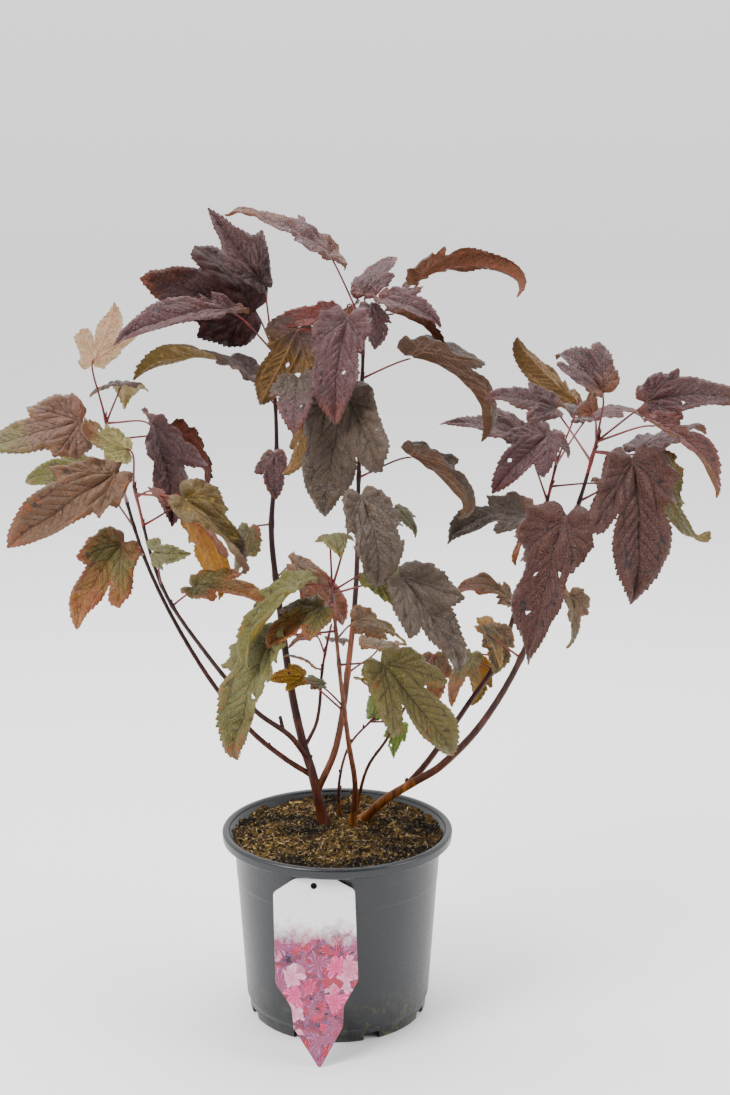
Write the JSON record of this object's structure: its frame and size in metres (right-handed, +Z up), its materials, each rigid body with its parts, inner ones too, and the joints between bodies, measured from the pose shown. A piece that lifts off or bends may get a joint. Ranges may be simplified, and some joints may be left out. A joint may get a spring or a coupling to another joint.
{
  "type": "ninebark shrub in a nursery pot",
  "caption": "Young deciduous shrub with arching stems and lobed, toothed autumn leaves, growing in a round plastic nursery pot with a plain plant label.",
  "frame": {"origin": "centre of the flat middle of the pot's underside, on the surface that the pot stands on", "axes": "+Z up along the pot's axis, -Y towards the plant's front and its label, +X to its right"},
  "size_m": [0.5691, 0.2448, 0.6359],
  "materials": {
    "pot_plastic": "satin black, a little dusty",
    "peat": null,
    "label_card": null,
    "bark": "young reddish-brown bark",
    "leaves_far_left": "plum to rust leaves, paler below",
    "leaves_left": "amber to olive leaves",
    "leaves_back_left_low": "rust to olive leaves",
    "leaves_back_left": "plum to maroon leaves, olive below",
    "leaves_thin_back": "small amber to grey leaves",
    "leaves_centre_low": "rust leaf",
    "leaves_centre": "grey-plum leaves, olive below",
    "leaves_top": "plum leaves, bronze below",
    "leaves_front": "green to grey-plum leaves",
    "leaves_right_back_low": "small amber to rust leaves",
    "leaves_right_back": "plum leaves, olive below",
    "leaves_right_low": "yellow to rust leaves",
    "leaves_right": "plum to maroon leaves, olive below",
    "leaves_twig_back": "small fresh green leaves",
    "leaves_twig_right": "small green to rust leaves"
  },
  "bodies": {
    "root": {"pot": "pot_plastic", "compost": "peat", "label_tag": "label_card", "stem_back_left": "bark", "stem_right_front": "bark", "stem_front": "bark", "stem_centre": "bark", "stem_far_left": "bark", "stem_left": "bark", "stem_thin_back": "bark", "stem_right_back": "bark", "twig_back": "bark", "twig_back_right": "bark", "leaves_far_left": "leaves_far_left", "leaves_left": "leaves_left", "leaves_back_left_low": "leaves_back_left_low", "leaves_back_left": "leaves_back_left", "leaves_thin_back": "leaves_thin_back", "leaves_centre_low": "leaves_centre_low", "leaves_centre": "leaves_centre", "leaves_top": "leaves_top", "leaves_front": "leaves_front", "leaves_right_back_low": "leaves_right_back_low", "leaves_right_back": "leaves_right_back", "leaves_right_low": "leaves_right_low", "leaves_right": "leaves_right", "leaves_twig_back": "leaves_twig_back", "leaves_twig_right": "leaves_twig_right"}
  },
  "joints": []
}
